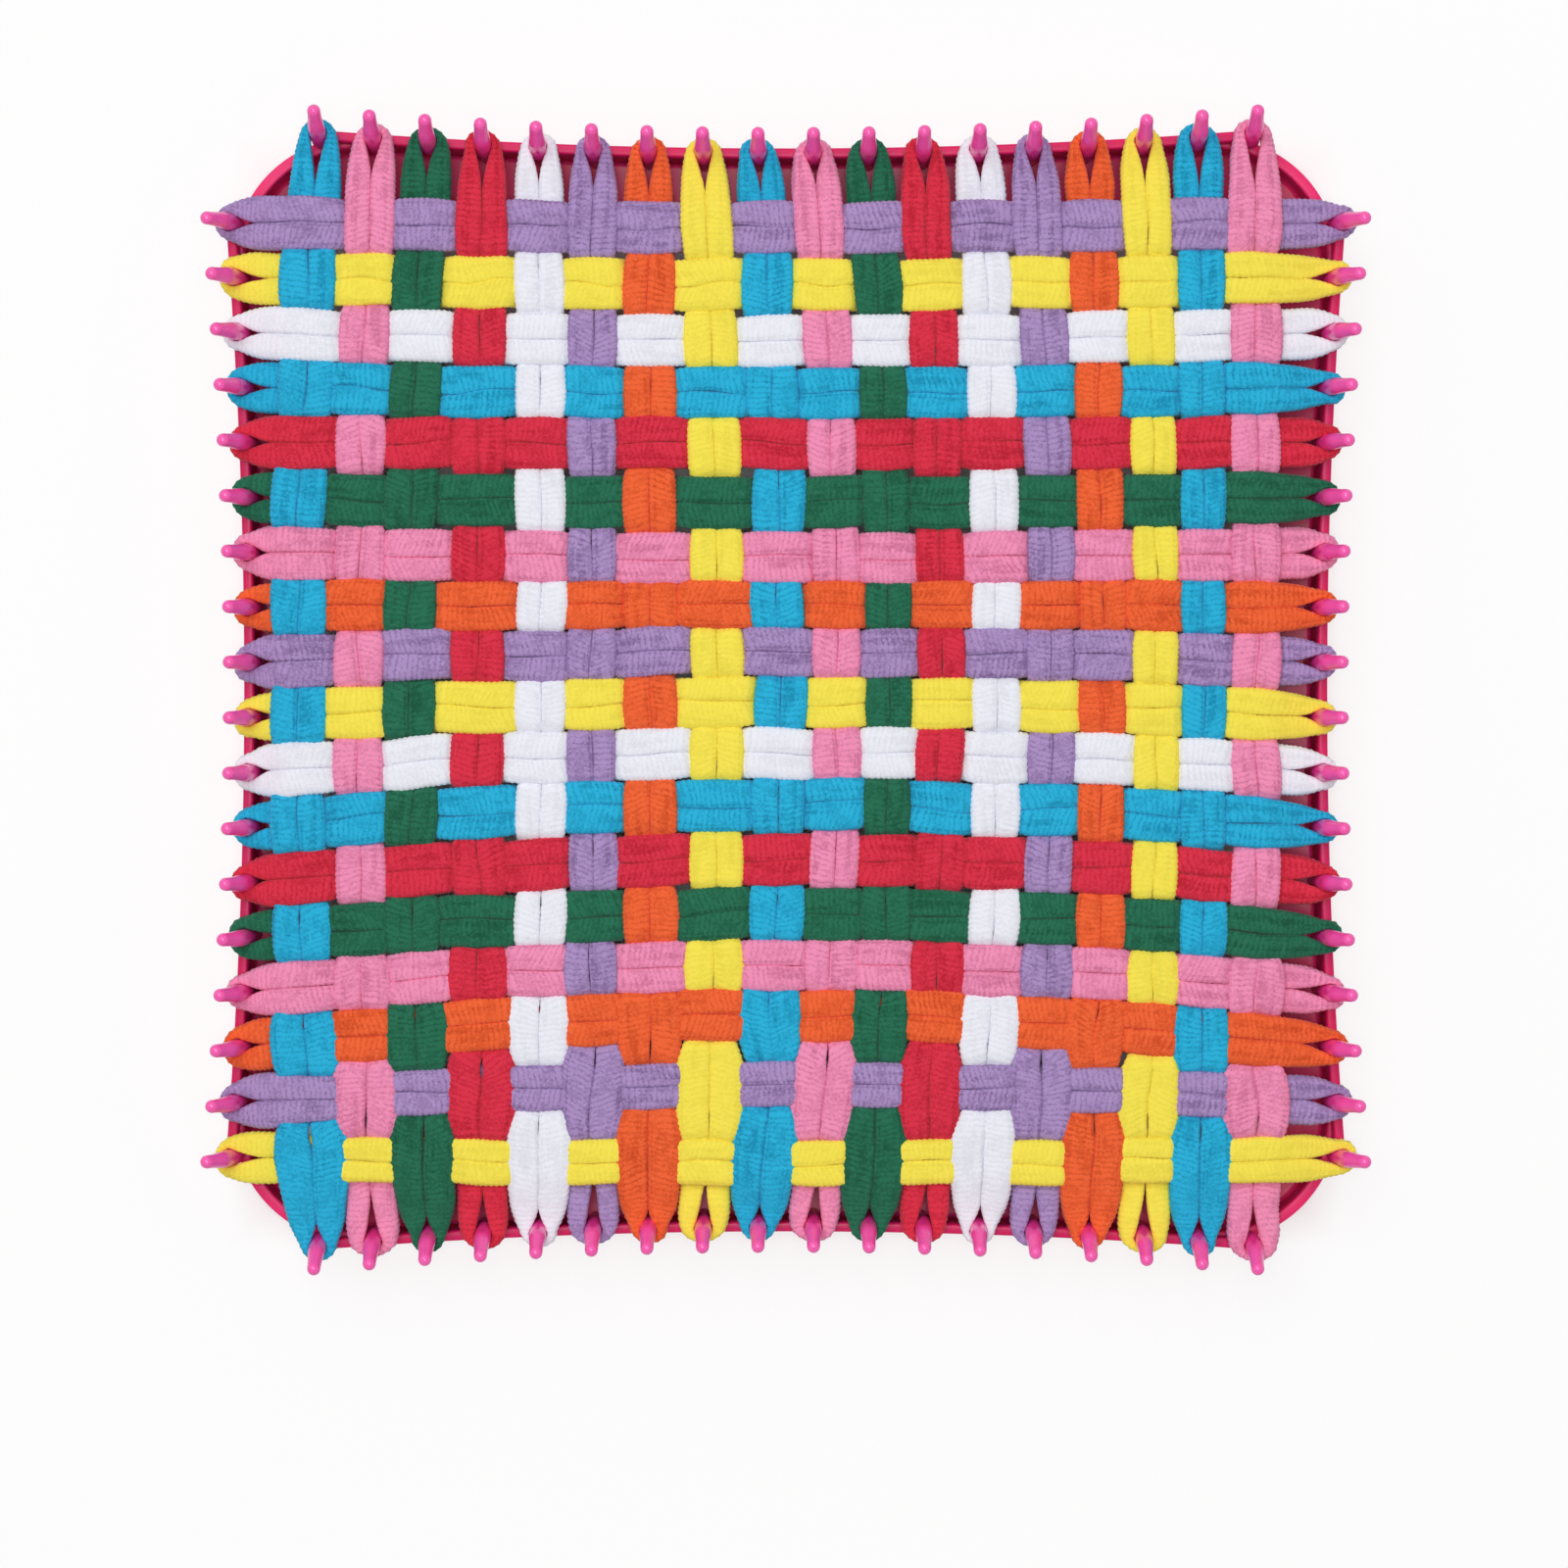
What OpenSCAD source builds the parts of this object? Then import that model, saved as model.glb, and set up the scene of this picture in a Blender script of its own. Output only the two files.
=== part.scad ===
// Potholder loom: a square peg frame moulded in one piece, strung with woven stretch loops.
// Millimetres. The loom lies flat on Z = 0 with its centre on the Z axis.
// Warp loops run along Y and are counted from the left. Weft loops run along X, counted from the top.

/* [Pegs] */
// Number of pegs on each side
peg_count = 18; // [14:1:24]
// Distance between neighbouring pegs
peg_pitch = 9.5; // [9.3:0.1:12]
// Diameter of a peg's stem
peg_d = 2.9; // [2.6:0.1:3.4]
// Diameter of a peg's narrow tip
tip_d = 2.3; // [1.4:0.1:2.5]
// Diameter of the root that a peg has on the inner face of its wall
root_d = 2.5; // [1.8:0.1:2.5]
// Height of a peg's stem above the wall
stem_h = 6.5; // [5:0.5:9]
// Length of the tip beyond the top of the stem
tip_l = 4.5; // [3:0.25:6]
// Distance from a wall's outer face to the middle of a peg's foot
peg_inset = 1.7; // [1.5:0.1:2.2]
// Outward lean of the stems in the middle of a side, in degrees
lean_middle = 8; // [0:1:10]
// Outward lean of the stems at the ends of a side, in degrees
lean_end = 12; // [10:1:18]
// Further outward lean of the tips, in degrees
tip_lean = 20; // [4:1:26]

/* [Frame] */
// Distance from the end peg of a side to the outer face of the next side
corner_room = 16.45; // [14.5:0.05:20]
// Outer radius of the rim at the corners
corner_r = 21.5; // [18:0.5:26]
// How far the middle of a side bows inward
side_bow = 3.3; // [0.5:0.1:4]
// Thickness of the side walls, which carry the pegs
wall_t = 1.8; // [1.5:0.1:2.4]
// Height of the side walls
wall_h = 13; // [10:0.5:18]
// Length of side wall beyond its end peg
wall_end = 2; // [1.7:0.1:4]
// Thickness of the rim at the corners
rim_t = 2; // [1.9:0.1:2.6]
// How much lower the rim is than the side walls
rim_drop = 3.5; // [1:0.5:6]
// How far the rim lies back from the face of the side walls
rim_inset = 0.3; // [0.2:0.05:0.5]
// Width of the flat flange inside the walls
flange_w = 12; // [8:0.5:15]
// Thickness of the flange
flange_t = 2; // [1.5:0.1:3]
// Rounding of the top edges
edge_r = 0.5; // [0.2:0.05:0.6]

/* [Loops] */
// Width of a loop, over both of its strands
loop_w = 7.4; // [6:0.1:7.5]
// Thickness of a loop where it is woven
loop_t = 2.2; // [1.6:0.1:2.6]
// Height of a loop's end, which stands on edge round its peg
loop_end_h = 3.2; // [2.2:0.1:4]
// Thickness of the band that goes round the peg
loop_end_t = 1.4; // [1:0.1:1.6]
// Width of the slit between the two strands
slit_w = 0.5; // [0.3:0.1:1]
// Length over which a loop opens towards its peg
loop_open_l = 6; // [4:0.5:7]
// Greatest length of the step from one crossing to the next
step_l = 1.2; // [0.8:0.1:1.6]

/* [Fit] */
// Free space between loops that cross
weave_gap = 0.3; // [0.25:0.05:0.35]
// Free space between a loop and its peg or the wall
seat_gap = 0.3; // [0.2:0.05:0.5]

/* [Lie of the loops] */
// Sideways bow of the first warp loop
warp_bow_first = -2.3; // [-3:0.1:3]
// Sideways bow of the fullest warp loop
warp_bow_most = 3.5; // [0:0.1:4]
// Place of the fullest warp loop, as a share of the row
warp_most_at = 0.54; // [0.4:0.02:0.6]
// Bow of the first weft loop
weft_bow_first = -2; // [-3:0.1:3]
// Bow of the fullest weft loop
weft_bow_most = 6; // [0:0.1:6]
// Place of the fullest weft loop, as a share of the row
weft_most_at = 0.9; // [0.82:0.02:0.94]

/* [Hidden] */
$fn = 72;
// Fine steps for the long shallow arcs of the sides
BOW_FN = 720;
// Steps in a rounded edge and in a loop's curve
EDGE_STEPS = 3;
LOOP_STEPS = 8;
// How far a peg's leaning stem is sunk into its foot, and its tip into the stem
SINK = 0.5;
// Share of an eye's radius at which the straight edges of a loop run into it
EYE_JOIN = 0.94;

LAST = peg_count - 1;
row_half = LAST / 2 * peg_pitch;
half_end = row_half + corner_room;
half_mid = half_end - side_bow;
wall_half_l = row_half + wall_end;
rim_h = wall_h - rim_drop;
mat_z = wall_h + seat_gap;
mat_top = mat_z + 2 * loop_t + weave_gap;
loops_h = max(mat_top - mat_z, loop_end_h);

// Each side is a shallow arc about a point far outside the loom. The corner's arc touches both
// of its sides' arcs, so its middle lies on the lines between their middles and the seams.
bow_r = (pow(wall_half_l, 2) + pow(side_bow, 2)) / (2 * side_bow);
bow_y = half_mid + bow_r;
seam_r = bow_r + rim_inset + corner_r;
corner_c = (bow_y - sqrt(2 * pow(seam_r, 2) - pow(bow_y, 2))) / 2;
seam_angle = asin(corner_c / seam_r);

// Loop colours, in the order in which the loops are strung
WARP_COLOURS = ["#23b3dd", "#f591b9", "#1e6c4f", "#dc2c46", "#eff0f9", "#ac8fc4", "#f46532", "#fae751"];
WEFT_COLOURS = ["#ac8fc4", "#fae751", "#eff0f9", "#23b3dd", "#dc2c46", "#1e6c4f", "#f591b9", "#f46532"];

function two_digits(n) = str(n < 10 ? "0" : "", n);
function warp_name(i) = str("warp_loop_", two_digits(i + 1));
function weft_name(k) = str("weft_loop_", two_digits(k + 1));

// Place of peg n along its side, measured from the middle, and how a peg at place s stands and leans
function along(n) = (n - LAST / 2) * peg_pitch;
function lean(s) = lean_middle + (lean_end - lean_middle) * pow(s / row_half, 2);
function foot_at(s) = bow_y - sqrt(pow(bow_r, 2) - pow(s, 2)) - peg_inset;

// The eye that a loop makes round its peg: distance from the loom's middle, and inner radius
function eye_at(s) = foot_at(s) + tan(lean(s)) * (seat_gap + loop_end_h / 2);
function eye_r(s) = peg_d / 2 + seat_gap + tan(lean(s)) * loop_end_h / 2;

// How the loops lie: a bow that eases from the first loop's to the fullest one's, and back to none
function ease(t) = pow(sin(90 * t), 2);
function lie(t, first, most, at) =
    t < at ? first + (most - first) * ease(t / at) : most * ease((1 - t) / (1 - at));
function warp_bow(i) = lie(i / LAST, warp_bow_first, warp_bow_most, warp_most_at);
function weft_bow(k) = lie(k / LAST, weft_bow_first, weft_bow_most, weft_most_at);
function bowed(s, eye, bow) = bow * (1 - pow(s / eye, 2));

// Middle lines: the x of warp loop i at height y, and the y of weft loop k at place x
function warp_x(i, y) = along(i) + bowed(y, eye_at(along(i)), warp_bow(i));
function weft_y(k, x) = along(LAST - k) + bowed(x, eye_at(along(LAST - k)), weft_bow(k));

// Points of an arc of radius r about (x, y), turning clockwise from one angle to the other
function arc_points(x, y, r, from, to, steps) =
    [for (n = [0:steps])
        let (a = from + (to - from) * n / steps) [x + r * cos(a), y + r * sin(a)]];

// Section of an upright wall, from x0 to x1 and up to h, with rounded top edges
function wall_section(x0, x1, h) = concat(
    [[x0, 0]],
    arc_points(x0 + edge_r, h - edge_r, edge_r, 180, 90, EDGE_STEPS),
    arc_points(x1 - edge_r, h - edge_r, edge_r, 90, 0, EDGE_STEPS),
    [[x1, 0]]);

// Sections are drawn inward from the side wall's outer face at x = 0
module along_side(angle) {
    translate([0, bow_y, 0])
        rotate([0, 0, -90 - angle])
            rotate_extrude(angle = 2 * angle, $fn = BOW_FN)
                translate([bow_r, 0])
                    children();
}

module round_corner() {
    translate([corner_c, corner_c, 0])
        rotate([0, 0, -seam_angle])
            rotate_extrude(angle = 90 + 2 * seam_angle)
                translate([corner_r + rim_inset, 0])
                    mirror([1, 0])
                        children();
}

module side() {
    along_side(asin(wall_half_l / bow_r))
        polygon(wall_section(0, wall_t, wall_h));
    along_side(seam_angle)
        translate([wall_t / 2, 0])
            square([flange_w - wall_t / 2, flange_t]);
    round_corner()
        polygon(wall_section(rim_inset, rim_inset + rim_t, rim_h));
    round_corner()
        translate([rim_inset + rim_t / 2, 0])
            square([flange_w - rim_inset - rim_t / 2, flange_t]);
}

// A round-ended pin that stands at the origin and is sunk a little below it
module pin(d, h) {
    translate([0, 0, -SINK])
        cylinder(d = d, h = h + SINK);
    translate([0, 0, h])
        sphere(d = d);
}

// A peg with its foot at the origin, leaning towards +Y, and the root that holds it to the wall
module peg(tilt) {
    translate([0, 0, flange_t / 2 - wall_h])
        cylinder(d = root_d, h = wall_h - flange_t / 2);
    rotate([-tilt, 0, 0]) {
        pin(peg_d, stem_h);
        translate([0, 0, stem_h])
            rotate([-tip_lean, 0, 0])
                pin(tip_d, tip_l);
    }
}

module loom_frame() {
    color("#e13278")
        for (turn = [0:3])
            rotate([0, 0, 90 * turn]) {
                side();
                for (n = [0:LAST])
                    translate([along(n), foot_at(along(n)), wall_h])
                        peg(lean(along(n)));
            }
}

// Both kinds of loop are drawn running along Y, and a weft loop is then turned to run along X.
// place is the loop's peg along its side, and bow is its sideways bow towards +X.
module strip(place, bow, w, r) {
    eye = eye_at(place);
    run = eye - loop_open_l;
    end_w = r * EYE_JOIN;
    line = [for (n = [0:LOOP_STEPS])
        let (y = run * (2 * n / LOOP_STEPS - 1)) [place + bowed(y, eye, bow), y]];
    linear_extrude(loops_h)
        polygon(concat(
            [[place - end_w, -eye]],
            [for (p = line) p - [w, 0]],
            [[place - end_w, eye], [place + end_w, eye]],
            [for (n = [0:LOOP_STEPS]) line[LOOP_STEPS - n] + [w, 0]],
            [[place + end_w, -eye]]));
    for (end = [-1, 1])
        translate([place, end * eye, 0])
            cylinder(r = r, h = loops_h);
}

module strands(place, bow) {
    translate([0, 0, mat_z])
        difference() {
            strip(place, bow, loop_w / 2, eye_r(place) + loop_end_t);
            strip(place, bow, slit_w / 2, eye_r(place));
        }
}

// A block between z0 and z1 whose edges across the loop are the lines a, nearer -Y, and b
module block(a, b, z0, z1) {
    translate([0, 0, z0])
        linear_extrude(z1 - z0)
            polygon([a[0], a[1], b[1], b[0]]);
}

// The step between two crossed loops stands midway between their middle lines p and q, where q is
// nearer -Y. It is as long as the free space allows.
function middle(p, q) = (p + q) / 2;
function step_half(p, q) =
    min(step_l, min([for (e = [0, 1]) p[e].y - q[e].y]) - loop_w - 2 * weave_gap) / 2;
function moved(line, y) = [for (p = line) p + [0, y]];

// The over and under path of a loop. lines has the middle line of each crossed loop, from +Y to -Y,
// as two points beyond the sides of this loop.
module woven_path(lines, first_over) {
    beyond = loop_w + 2 * weave_gap + step_l;
    all = concat([moved(lines[0], beyond)], lines, [moved(lines[LAST], -beyond)]);
    steps = [for (n = [0:LAST + 1]) middle(all[n], all[n + 1])];
    halves = [for (n = [0:LAST + 1]) step_half(all[n], all[n + 1])];
    // Heights of the band from end to end, as pairs of bottom and top
    low = [mat_z, mat_z + loop_t];
    high = [mat_top - loop_t, mat_top];
    stand = [mat_z, mat_z + loop_end_h];
    bands = concat([stand], [for (n = [0:LAST]) (n % 2 == 0) == first_over ? high : low], [stand]);
    edges = concat([moved(steps[0], 2 * corner_room)], steps, [moved(steps[LAST + 1], -2 * corner_room)]);
    reach = concat([0], halves, [0]);
    for (n = [0:LAST + 2])
        block(moved(edges[n + 1], -reach[n + 1]), moved(edges[n], reach[n]), bands[n][0], bands[n][1]);
    for (n = [0:LAST + 1])
        block(moved(steps[n], -halves[n]), moved(steps[n], halves[n]),
            min(bands[n][0], bands[n + 1][0]), max(bands[n][1], bands[n + 1][1]));
}

module warp_loop(i) {
    lines = [for (k = [0:LAST])
        let (x = warp_x(i, weft_y(k, along(i))))
        [for (e = [-loop_w, loop_w]) [x + e, weft_y(k, x + e)]]];
    color(WARP_COLOURS[i % len(WARP_COLOURS)])
        intersection() {
            strands(along(i), warp_bow(i));
            woven_path(lines, i % 2 == 1);
        }
}

module weft_loop(k) {
    place = along(k);
    lines = [for (n = [0:LAST])
        let (i = LAST - n, y = weft_y(k, warp_x(i, -place)))
        [for (e = [-loop_w, loop_w]) [e - y, warp_x(i, y - e)]]];
    color(WEFT_COLOURS[k % len(WEFT_COLOURS)])
        rotate([0, 0, -90])
            intersection() {
                strands(place, -weft_bow(k));
                woven_path(lines, (LAST + k) % 2 == 0);
            }
}

loom_frame();
for (i = [0:LAST])
    warp_loop(i);
for (k = [0:LAST])
    weft_loop(k);
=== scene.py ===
# %% [markdown]
# A potholder loom is a square frame moulded in one piece of pink plastic, with a row of slanting pegs
# on each side. Stretch loops, cut from a knitted cotton tube, are strung from peg to peg and woven over
# and under each other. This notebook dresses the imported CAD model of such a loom. It loads the model as
# a fixed frame, and every piece made here stands for the CAD node that does the same job. Lengths are
# given in metres, so that a piece lands where the CAD says, with no fitting.

# %% Load the CAD frame
import math

import bpy
import numpy as np
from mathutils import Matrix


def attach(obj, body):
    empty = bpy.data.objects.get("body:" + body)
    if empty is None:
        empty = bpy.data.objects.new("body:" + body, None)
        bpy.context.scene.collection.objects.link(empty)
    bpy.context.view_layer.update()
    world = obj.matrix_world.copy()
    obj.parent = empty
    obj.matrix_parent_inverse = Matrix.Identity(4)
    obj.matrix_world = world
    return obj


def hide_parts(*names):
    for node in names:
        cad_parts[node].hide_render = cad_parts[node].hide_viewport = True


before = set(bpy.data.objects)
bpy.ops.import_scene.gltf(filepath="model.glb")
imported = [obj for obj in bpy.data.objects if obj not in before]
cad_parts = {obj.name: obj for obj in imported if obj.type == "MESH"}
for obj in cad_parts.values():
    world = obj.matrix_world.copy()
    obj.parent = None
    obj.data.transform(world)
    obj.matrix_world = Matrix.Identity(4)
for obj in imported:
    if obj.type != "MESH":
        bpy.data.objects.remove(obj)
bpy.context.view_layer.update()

MM = 0.001

# %% [markdown]
# The loom is looked at from straight above. A camera that points down keeps the frame square, and one
# that stands fairly close still shows that the pegs lean outward. The picture has more room below
# the loom than above it. A lens shift makes that room without tilting the camera, which would turn the
# square into a wedge.

# %% Camera
SENSOR, LENS = 36, 106  # millimetres, as on a real camera
CAMERA_HEIGHT = 813 * MM
CAMERA_LEFT = -0.3 * MM
SHIFT_UP = -0.06

camera = bpy.data.objects.new("camera", bpy.data.cameras.new("camera"))
bpy.context.scene.collection.objects.link(camera)
camera.location = (CAMERA_LEFT, 0, CAMERA_HEIGHT)
camera.data.sensor_width = SENSOR
camera.data.lens = LENS
camera.data.shift_y = SHIFT_UP
bpy.context.scene.camera = camera
bpy.context.scene.view_settings.view_transform = "Standard"
print("width seen at the pegs in mm:", round(CAMERA_HEIGHT / LENS * SENSOR / MM, 1))

# %% [markdown]
# Materials are made of nodes. Naming each node, its settings and its links takes many lines, so one
# small helper adds a node, sets it and fills its first inputs, either with values or with links from
# other nodes. It returns the node's first output, which can go straight into the next call.

# %% A helper for shader nodes
def add(tree, kind, *values, **settings):
    made = tree.nodes.new("ShaderNode" + kind)
    for name, value in settings.items():
        setattr(made, name, value)
    for socket, value in zip(made.inputs, values):
        if isinstance(value, bpy.types.NodeSocket):
            tree.links.new(value, socket)
        elif value is not None:
            socket.default_value = value
    return made.outputs[0]


def calculate(tree, operation, *values):
    return add(tree, "Math", *values, operation=operation)


def mix_colours(tree, factor, low, high):
    mixed = add(tree, "Mix", factor, data_type="RGBA").node
    rgba = [socket for socket in mixed.inputs if socket.type == "RGBA"]
    for socket, value in zip(rgba, (low, high)):
        if isinstance(value, bpy.types.NodeSocket):
            tree.links.new(value, socket)
        else:
            socket.default_value = value
    return [socket for socket in mixed.outputs if socket.type == "RGBA"][0]


def new_material(name):
    material = bpy.data.materials.new(name)
    material.use_nodes = True
    return material, material.node_tree, material.node_tree.nodes["Principled BSDF"]


# %% [markdown]
# The loom lies on a plain white table under soft light. White could come from more light, but that would
# bleach the loops. Instead the table glows a little for rays that come from the camera or from a
# reflection, so that it reads as white and keeps a faint, soft shadow of the loom. Under the loom it
# doesn't glow, so the gaps in the mat stay dark. The glow fades out over a band that reaches a few
# millimetres past the frame's outer edge, which paints a faint shade round the loom on top of its real
# shadow. For the light that it bounces it is a plain pale grey. The world behind it does the same.

# %% Table and surroundings
WHITE = (1, 1, 1, 1)
TABLE_BOUNCE = (0.8, 0.8, 0.8, 1)
TABLE_SIZE, TABLE_ROUGHNESS = 6, 0.9
TABLE_GLOW = 0.8
GLOW_FROM, GLOW_TO = 80 * MM, 98 * MM
WORLD_LIGHT = 0.37


def seen_directly(tree):
    path = add(tree, "LightPath").node
    seen = calculate(tree, "MAXIMUM", path.outputs["Is Camera Ray"], path.outputs["Is Glossy Ray"])
    return calculate(tree, "MAXIMUM", seen, path.outputs["Is Transmission Ray"])


bpy.ops.mesh.primitive_plane_add(size=TABLE_SIZE)
table = bpy.context.object
table.name = "table"
paint, tree, shader = new_material("table_white")
seen = seen_directly(tree)
tree.links.new(mix_colours(tree, seen, TABLE_BOUNCE, WHITE), shader.inputs["Base Color"])
shader.inputs["Roughness"].default_value = TABLE_ROUGHNESS
shader.inputs["Specular IOR Level"].default_value = 0.0
axes = add(tree, "SeparateXYZ", add(tree, "TexCoord").node.outputs["Object"]).node.outputs
outward = calculate(tree, "MAXIMUM", *(calculate(tree, "ABSOLUTE", axis) for axis in axes[:2]))
# Painted shade: the glow fades from full at GLOW_TO to none at GLOW_FROM, so a band just outside the
# frame is darkened too.
outside = add(tree, "MapRange", outward, GLOW_FROM, GLOW_TO, 0.0, TABLE_GLOW)
glow = add(tree, "Emission", WHITE, 1.0)
mixed = add(tree, "MixShader", calculate(tree, "MULTIPLY", seen, outside), shader.outputs[0], glow)
tree.links.new(mixed, tree.nodes["Material Output"].inputs["Surface"])
table.data.materials.append(paint)

world = bpy.data.worlds.new("soft_room")
bpy.context.scene.world = world
world.use_nodes = True
tree = world.node_tree
level = add(tree, "MapRange", seen_directly(tree), 0.0, 1.0, WORLD_LIGHT, 1.0)
tree.links.new(level, tree.nodes["Background"].inputs["Strength"])
tree.nodes["Background"].inputs["Color"].default_value = WHITE
print("world light:", WORLD_LIGHT)

# %% [markdown]
# Two lamps light the loom. A large soft one stands beyond its far side, a little to the left, so each
# loop has a bright far edge and a soft shade on its near one. It is wide and stands well back, so it
# lights the whole loom evenly and gives soft edges to the shadows, as a studio's softbox does. A
# smaller one hangs straight above. It shines down between the loops, so that the hollow inside the
# frame's wall shows its crimson. The surroundings give the rest of the light.

# %% Lamps
SOFTBOX = {"size": 1.2, "power": 14.0, "place": (-0.45, 0.85, 1.72)}
OVERHEAD = {"size": 0.22, "power": 2.6, "place": (0.0, 0.0, 0.95)}


def hang_lamp(name, size, power, place):
    lamp = bpy.data.objects.new(name, bpy.data.lights.new(name, "AREA"))
    bpy.context.scene.collection.objects.link(lamp)
    lamp.data.size = size
    lamp.data.energy = power
    lamp.location = place
    lamp.rotation_euler = (-lamp.location).to_track_quat("-Z", "Y").to_euler()
    return lamp


for name, facts in (("softbox", SOFTBOX), ("overhead", OVERHEAD)):
    lamp = hang_lamp(name, **facts)
    print(name, "hangs", round(lamp.location.length, 2), "m away")

# %% [markdown]
# These are the sizes that the CAD model was built with, repeated here in metres, because the loops and
# the frame have to follow the same lines. Each side of the loom is a shallow arc that bows inward, and
# the pegs stand along it at an even pitch. They lean outward, more so near the corners.

# %% The loom's own sizes
PEG_COUNT = 18
LAST = PEG_COUNT - 1
PITCH = 9.5 * MM
PEG_R, TIP_R, ROOT_R = 1.45 * MM, 1.15 * MM, 1.25 * MM
STEM_H, TIP_L = 6.5 * MM, 4.5 * MM
PEG_INSET = 1.7 * MM
LEAN_MIDDLE, LEAN_END, TIP_LEAN = (math.radians(a) for a in (8, 12, 20))
CORNER_ROOM, CORNER_R, SIDE_BOW = 16.45 * MM, 21.5 * MM, 3.3 * MM
WALL_T, WALL_H, WALL_END = 1.8 * MM, 13 * MM, 2 * MM
RIM_T, RIM_DROP, RIM_INSET = 2 * MM, 3.5 * MM, 0.3 * MM
FLANGE_W, FLANGE_T, EDGE_R = 12 * MM, 2 * MM, 0.5 * MM
SEAT_GAP, END_HEIGHT = 0.3 * MM, 3.2 * MM

ROW_HALF = LAST / 2 * PITCH
HALF_MID = ROW_HALF + CORNER_ROOM - SIDE_BOW
WALL_HALF = ROW_HALF + WALL_END
BOW_R = (WALL_HALF**2 + SIDE_BOW**2) / (2 * SIDE_BOW)
BOW_Y = HALF_MID + BOW_R


def along(n):
    return (n - LAST / 2) * PITCH


def lean(s):
    return LEAN_MIDDLE + (LEAN_END - LEAN_MIDDLE) * (s / ROW_HALF) ** 2


def foot_at(s):
    return BOW_Y - math.sqrt(BOW_R**2 - s**2) - PEG_INSET


def eye_at(s):
    return foot_at(s) + math.tan(lean(s)) * (SEAT_GAP + END_HEIGHT / 2)


print("pegs at the middle of a side stand", round(foot_at(0) / MM, 2), "mm from the loom's middle")

# %% [markdown]
# Strung loops are never quite straight. The weaving pushes the warp loops, which run from the near side
# to the far side, a little to the left or the right, and it packs the weft loops towards the far side.
# A bow that grows and dies away from loop to loop gives the mat that lie, and the crossings follow
# from it. Fingers don't push evenly, so each loop also has a little slack of its own, in millimetres.

# %% How the loops lie
WARP_BOW_FIRST, WARP_BOW_MOST, WARP_MOST_AT = -2.3 * MM, 3.5 * MM, 0.54
WEFT_BOW_FIRST, WEFT_BOW_MOST, WEFT_MOST_AT = -2 * MM, 6 * MM, 0.9
WARP_SLACK = [-1.1, -0.3, -1.5, 0, 0.5, -1.2, -1.5, -0.3, 0.5,
              0.6, 0.1, 0, 0.6, 1.2, 1.2, 1.6, 0.7, 0.4]
WEFT_SLACK = [1, 0.6, 0.1, 0.2, 0.5, -0.8, -1.7, -1, -0.5,
              -0.4, -0.5, -0.6, -1.1, -1.4, -1.1, -0.3, -0.6, -0.8]


def ease(t):
    return np.sin(np.pi / 2 * np.clip(t, 0, 1)) ** 2


def lie(t, first, most, at):
    return first + (most - first) * ease(t / at) if t < at else most * ease((1 - t) / (1 - at))


def warp_bow(i):
    return WARP_SLACK[i] * MM + lie(i / LAST, WARP_BOW_FIRST, WARP_BOW_MOST, WARP_MOST_AT)


def weft_bow(k):
    return WEFT_SLACK[k] * MM + lie(k / LAST, WEFT_BOW_FIRST, WEFT_BOW_MOST, WEFT_MOST_AT)


def bowed(s, eye, bow):
    return bow * (1 - (s / eye) ** 2)


def warp_x(i, y):
    return along(i) + bowed(y, eye_at(along(i)), warp_bow(i))


def weft_y(k, x):
    return along(LAST - k) + bowed(x, eye_at(along(LAST - k)), weft_bow(k))


print("the fullest weft is pushed", round(max(weft_bow(k) for k in range(PEG_COUNT)) / MM, 1), "mm")

# %% [markdown]
# A loop is one closed band of knit. Strung between two pegs it becomes two flat strands that lie side by
# side, so close that only a fine line shows between them, and at each peg the band turns on its edge
# and grows thin. A tube of even width can't show that. So the loop is described as a path with a
# width and a height at every point. First come the strands: each one rises over a crossed loop and
# dives under the next, within a short step at the edge of the one that it goes under.

# %% The rise and fall of the strands
MAT_MIDDLE = 15.65 * MM
RISE = 1.12 * MM
STEP_ROOM = 1.25 * MM
FINE = 0.1 * MM


def smooth_step(t):
    t = np.clip(t, 0, 1)
    return t * t * (3 - 2 * t)


def step_places(crossings, over, room):
    """Where the loop changes height: at the edge of the crossed loop that it goes under."""
    after, before = crossings[:-1] + room[:-1], crossings[1:] - room[1:]
    return np.where(over[:-1], np.maximum(before, (crossings[:-1] + crossings[1:]) / 2),
                    np.minimum(after, (crossings[:-1] + crossings[1:]) / 2))


def height_along(y, crossings, over, room):
    """Share of the rise at each y: 1 where the loop goes over, -1 where it goes under."""
    sign = np.where(over, 1.0, -1.0)
    share = np.full_like(y, sign[0])
    for n, step in enumerate(step_places(crossings, over, room)):
        share += (sign[n + 1] - sign[n]) * smooth_step((y - step + STEP_ROOM) / (2 * STEP_ROOM))
    return share


# %% [markdown]
# Pulled tight round a peg, a loop narrows towards its end. How it does so depends on its last crossing.
# Where the neighbour goes over the loop, the end is held down and stays open to the crossing. Where the
# loop goes over its last neighbour, the end is free: it swells beside the crossing and runs to a point
# like a leaf. The four sides differ, because the loops are stretched from one side to the other. For
# each side, held down or free, the table gives four half widths and the length of the opening.

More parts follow.
